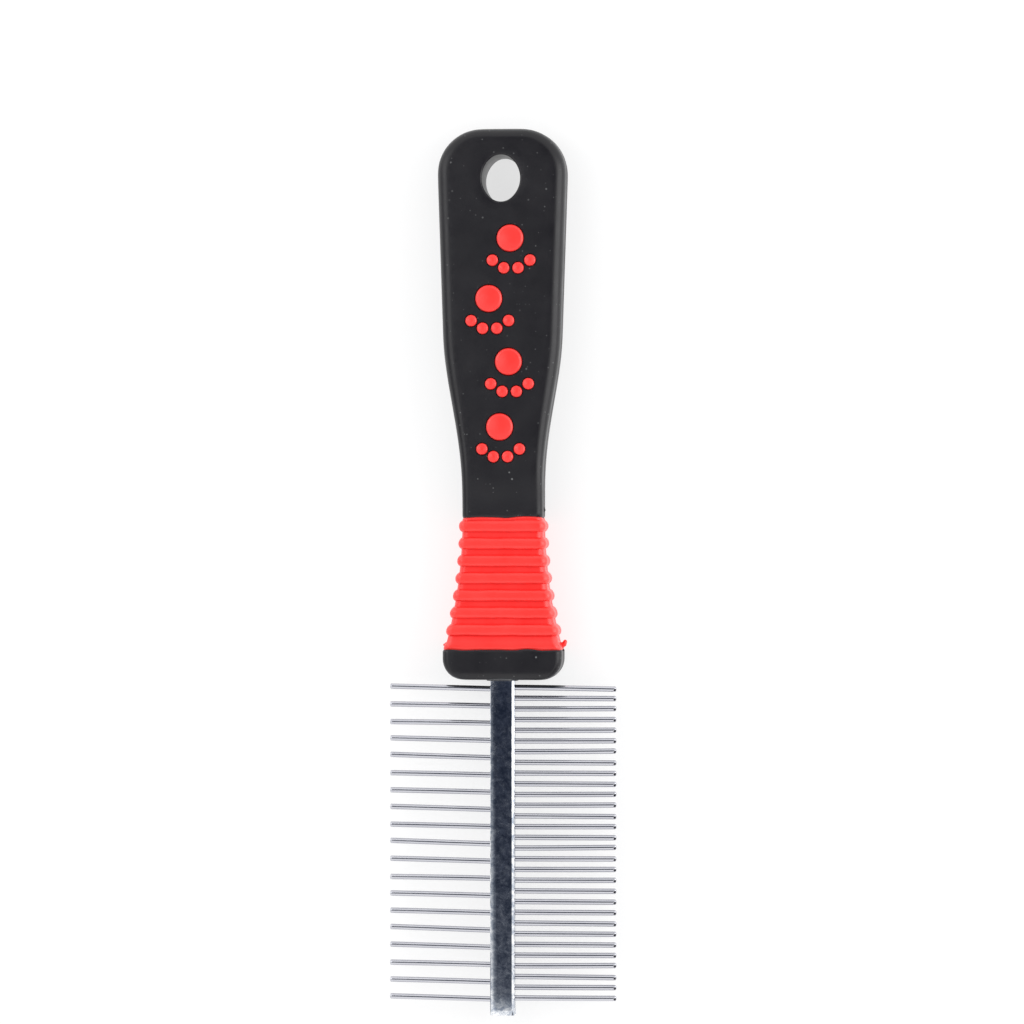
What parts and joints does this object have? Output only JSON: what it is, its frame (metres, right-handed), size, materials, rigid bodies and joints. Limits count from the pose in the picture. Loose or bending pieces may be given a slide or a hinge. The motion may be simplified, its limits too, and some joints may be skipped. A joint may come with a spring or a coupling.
{
  "type": "double-sided pet comb",
  "caption": "Double-sided pet comb: coarse and fine rows of round wire teeth on a steel spine, with a soft rubber handle, a ribbed collar, raised paw prints and a hanging hole.",
  "frame": {"origin": "the point on the resting surface under the middle of the whole comb, which lies on its back", "axes": "+Y along the comb towards the hanging end of the handle, +X towards the tips of the fine teeth, +Z out of the front face that carries the paw prints"},
  "size_m": [0.0568, 0.2214, 0.0136],
  "materials": {
    "spine_steel": "bright nickel plate with a faint wave and fine scratches",
    "tooth_wire": "bright nickel-plated round wire with rounded tips",
    "black_rubber": "satin soft-touch rubber with specks of dust",
    "red_rubber": "satin soft rubber",
    "core_plastic": "plain moulded plastic, hidden"
  },
  "bodies": {
    "root": {"spine": "spine_steel", "handle_core": "core_plastic", "grip_sleeve": "black_rubber", "ribbed_collar": "red_rubber", "nose_cap": "black_rubber", "paw_print_1": "red_rubber", "paw_print_2": "red_rubber", "paw_print_3": "red_rubber", "paw_print_4": "red_rubber", "coarse_tooth_01": "tooth_wire", "coarse_tooth_02": "tooth_wire", "coarse_tooth_03": "tooth_wire", "coarse_tooth_04": "tooth_wire", "coarse_tooth_05": "tooth_wire", "coarse_tooth_06": "tooth_wire", "coarse_tooth_07": "tooth_wire", "coarse_tooth_08": "tooth_wire", "coarse_tooth_09": "tooth_wire", "coarse_tooth_10": "tooth_wire", "coarse_tooth_11": "tooth_wire", "coarse_tooth_12": "tooth_wire", "coarse_tooth_13": "tooth_wire", "coarse_tooth_14": "tooth_wire", "coarse_tooth_15": "tooth_wire", "coarse_tooth_16": "tooth_wire", "coarse_tooth_17": "tooth_wire", "coarse_tooth_18": "tooth_wire", "coarse_tooth_19": "tooth_wire", "fine_tooth_01": "tooth_wire", "fine_tooth_02": "tooth_wire", "fine_tooth_03": "tooth_wire", "fine_tooth_04": "tooth_wire", "fine_tooth_05": "tooth_wire", "fine_tooth_06": "tooth_wire", "fine_tooth_07": "tooth_wire", "fine_tooth_08": "tooth_wire", "fine_tooth_09": "tooth_wire", "fine_tooth_10": "tooth_wire", "fine_tooth_11": "tooth_wire", "fine_tooth_12": "tooth_wire", "fine_tooth_13": "tooth_wire", "fine_tooth_14": "tooth_wire", "fine_tooth_15": "tooth_wire", "fine_tooth_16": "tooth_wire", "fine_tooth_17": "tooth_wire", "fine_tooth_18": "tooth_wire", "fine_tooth_19": "tooth_wire", "fine_tooth_20": "tooth_wire", "fine_tooth_21": "tooth_wire", "fine_tooth_22": "tooth_wire", "fine_tooth_23": "tooth_wire", "fine_tooth_24": "tooth_wire", "fine_tooth_25": "tooth_wire", "fine_tooth_26": "tooth_wire", "fine_tooth_27": "tooth_wire", "fine_tooth_28": "tooth_wire", "fine_tooth_29": "tooth_wire", "fine_tooth_30": "tooth_wire"}
  },
  "joints": []
}
